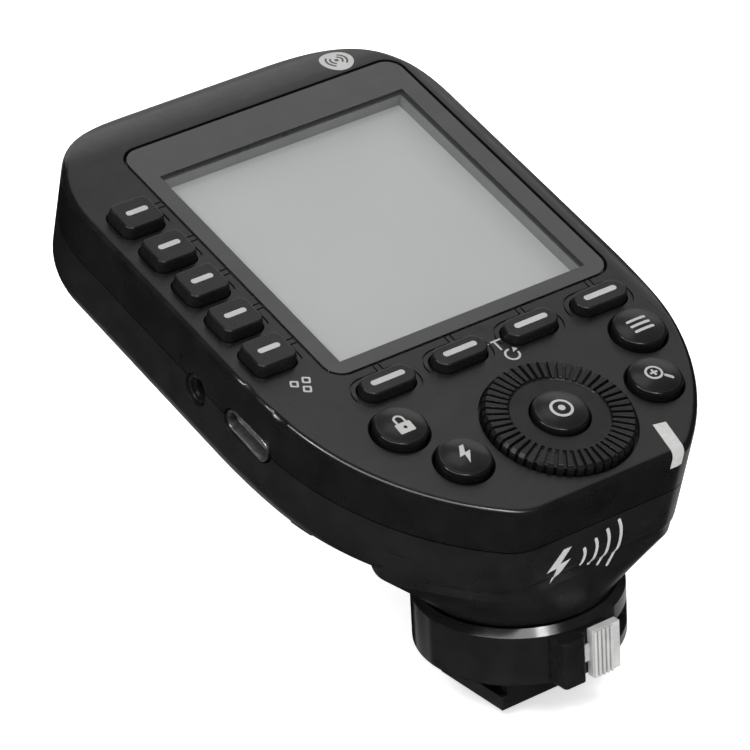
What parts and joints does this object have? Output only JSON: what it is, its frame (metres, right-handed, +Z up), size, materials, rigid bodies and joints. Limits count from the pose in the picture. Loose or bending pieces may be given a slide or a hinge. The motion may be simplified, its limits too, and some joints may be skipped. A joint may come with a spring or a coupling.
{
  "type": "wireless flash trigger",
  "caption": "Hot-shoe wireless flash trigger with a tilted screen and key panel, ribbed control dial, battery belly, round shoe collar and swinging lock lever.",
  "frame": {"origin": "centre of the underside of the hot-shoe foot, on the axis of the round shoe collar", "axes": "+Z up the collar axis, +Y the way the foot slides into a shoe and the way the screen end points, +X to the right as the screen is read; the control panel leans 17.6 degrees about X, screen end up"},
  "size_m": [0.0593, 0.0908, 0.0594],
  "materials": {
    "case_black": "fine satin moulded plastic",
    "case_lower_black": "satin moulded plastic",
    "window_clear": "polished clear acrylic",
    "mask_black": "printed black border film",
    "lcd_frame_grey": "light grey plastic frame",
    "lcd_face": "pale grey reflective display, switched off",
    "backlight_white": "white plastic light guide",
    "key_black": "satin key plastic, glossy edges",
    "key_gloss": "glossy domed key",
    "dial_black": "semi-gloss ribbed dial",
    "lamp_diffuser": "milky translucent light guide",
    "usb_steel": "bright stamped steel",
    "tongue_grey": "dark moulded tongue",
    "jack_black": "black jack housing",
    "switch_black": "black switch housing",
    "pcb_green": "solder mask",
    "silicone_grey": "silicone key mat",
    "shield_tin": "tinned shield can",
    "antenna_brass": "wound wire antenna",
    "buzzer_black": "buzzer case",
    "cell_jacket": "plain cell jacket",
    "contact_nickel": "nickel-plated contact",
    "screw_steel": "black-zinc screw",
    "collar_gloss": "glossy turned collar",
    "foot_black": "hard black foot",
    "contact_gold": "gold-plated contact",
    "lever_black": "satin lever",
    "release_grey": "light grey ribbed button",
    "pin_steel": "ground steel pin"
  },
  "bodies": {
    "case": {"aa_cells": "cell_jacket", "antenna": "antenna_brass", "battery_contacts": "contact_nickel", "battery_springs": "contact_nickel", "battery_tray": "switch_black", "bottom_shell": "case_lower_black", "buzzer": "buzzer_black", "case_screws": "screw_steel", "encoder_body": "switch_black", "function_key_mat": "silicone_grey", "group_key_mat": "silicone_grey", "lcd_backlight": "backlight_white", "lcd_frame": "lcd_frame_grey", "lcd_glass": "lcd_face", "lcd_window": "window_clear", "main_pcb": "pcb_green", "power_switch_body": "switch_black", "radio_module": "shield_tin", "shoe_collar": "collar_gloss", "shoe_contacts": "contact_gold", "shoe_foot": "foot_black", "shoe_hub": "foot_black", "shoe_screws": "screw_steel", "shoe_stem": "foot_black", "status_lamp": "lamp_diffuser", "sync_jack": "jack_black", "tact_switches": "switch_black", "top_shell": "case_black", "usb_socket": "usb_steel", "usb_tongue": "tongue_grey", "window_mask": "mask_black"},
    "group_key_1": {"group_key_1": "key_black"},
    "group_key_2": {"group_key_2": "key_black"},
    "group_key_3": {"group_key_3": "key_black"},
    "group_key_4": {"group_key_4": "key_black"},
    "group_key_5": {"group_key_5": "key_black"},
    "function_key_1": {"function_key_1": "key_black"},
    "function_key_2": {"function_key_2": "key_black"},
    "function_key_3": {"function_key_3": "key_black"},
    "function_key_4": {"function_key_4": "key_black"},
    "mode_key": {"mode_key": "key_gloss"},
    "flash_key": {"flash_key": "key_gloss"},
    "menu_key": {"menu_key": "key_gloss"},
    "zoom_key": {"zoom_key": "key_gloss"},
    "set_key": {"set_key": "key_gloss"},
    "dial": {"dial": "dial_black"},
    "power_knob": {"power_knob": "switch_black"},
    "battery_door": {"battery_door": "case_lower_black"},
    "lock_lever": {"lock_lever": "lever_black"},
    "release_button": {"release_button": "release_grey"},
    "locking_pin": {"locking_pin": "pin_steel"}
  },
  "joints": [
    {"name": "group_key_1_press", "type": "slide", "parent": "case", "child": "group_key_1", "axis": [0, 0.3024, -0.9532], "range_m": [0, 0.0008], "stiffness_N_per_m": 400},
    {"name": "group_key_2_press", "type": "slide", "parent": "case", "child": "group_key_2", "axis": [0, 0.3024, -0.9532], "range_m": [0, 0.0008], "stiffness_N_per_m": 400},
    {"name": "group_key_3_press", "type": "slide", "parent": "case", "child": "group_key_3", "axis": [0, 0.3024, -0.9532], "range_m": [0, 0.0008], "stiffness_N_per_m": 400},
    {"name": "group_key_4_press", "type": "slide", "parent": "case", "child": "group_key_4", "axis": [0, 0.3024, -0.9532], "range_m": [0, 0.0008], "stiffness_N_per_m": 400},
    {"name": "group_key_5_press", "type": "slide", "parent": "case", "child": "group_key_5", "axis": [0, 0.3024, -0.9532], "range_m": [0, 0.0008], "stiffness_N_per_m": 400},
    {"name": "function_key_1_press", "type": "slide", "parent": "case", "child": "function_key_1", "axis": [0, 0.3024, -0.9532], "range_m": [0, 0.0008], "stiffness_N_per_m": 400},
    {"name": "function_key_2_press", "type": "slide", "parent": "case", "child": "function_key_2", "axis": [0, 0.3024, -0.9532], "range_m": [0, 0.0008], "stiffness_N_per_m": 400},
    {"name": "function_key_3_press", "type": "slide", "parent": "case", "child": "function_key_3", "axis": [0, 0.3024, -0.9532], "range_m": [0, 0.0008], "stiffness_N_per_m": 400},
    {"name": "function_key_4_press", "type": "slide", "parent": "case", "child": "function_key_4", "axis": [0, 0.3024, -0.9532], "range_m": [0, 0.0008], "stiffness_N_per_m": 400},
    {"name": "mode_key_press", "type": "slide", "parent": "case", "child": "mode_key", "axis": [0, 0.3024, -0.9532], "range_m": [0, 0.0008], "stiffness_N_per_m": 400},
    {"name": "flash_key_press", "type": "slide", "parent": "case", "child": "flash_key", "axis": [0, 0.3024, -0.9532], "range_m": [0, 0.0008], "stiffness_N_per_m": 400},
    {"name": "menu_key_press", "type": "slide", "parent": "case", "child": "menu_key", "axis": [0, 0.3024, -0.9532], "range_m": [0, 0.0008], "stiffness_N_per_m": 400},
    {"name": "zoom_key_press", "type": "slide", "parent": "case", "child": "zoom_key", "axis": [0, 0.3024, -0.9532], "range_m": [0, 0.0008], "stiffness_N_per_m": 400},
    {"name": "set_key_press", "type": "slide", "parent": "case", "child": "set_key", "axis": [0, 0.3024, -0.9532], "range_m": [0, 0.0006], "stiffness_N_per_m": 400},
    {"name": "dial_turn", "type": "hinge", "parent": "case", "child": "dial", "pos_m": [0.00185, -0.00748, 0.03796], "axis": [0, -0.3024, 0.9532], "continuous": true},
    {"name": "power_slide", "type": "slide", "parent": "case", "child": "power_knob", "axis": [0, 0.9532, 0.3024], "range_m": [0, 0.003]},
    {"name": "battery_door_slide", "type": "slide", "parent": "case", "child": "battery_door", "axis": [0, 0.9532, 0.3024], "range_m": [0, 0.04]},
    {"name": "lock_lever_turn", "type": "hinge", "parent": "case", "child": "lock_lever", "pos_m": [0, 0, 0.008], "axis": [0, 0, 1], "range_deg": [0, 36]},
    {"name": "release_press", "type": "slide", "parent": "lock_lever", "child": "release_button", "axis": [-1, 0, 0], "range_m": [0, 0.001], "stiffness_N_per_m": 400},
    {"name": "locking_pin_slide", "type": "slide", "parent": "case", "child": "locking_pin", "axis": [0, 0, -1], "range_m": [0, 0.0014]}
  ],
  "couplings": [
    {"joint": "lock_lever_turn", "follows": "locking_pin_slide", "rad_per_m": 448.8}
  ]
}
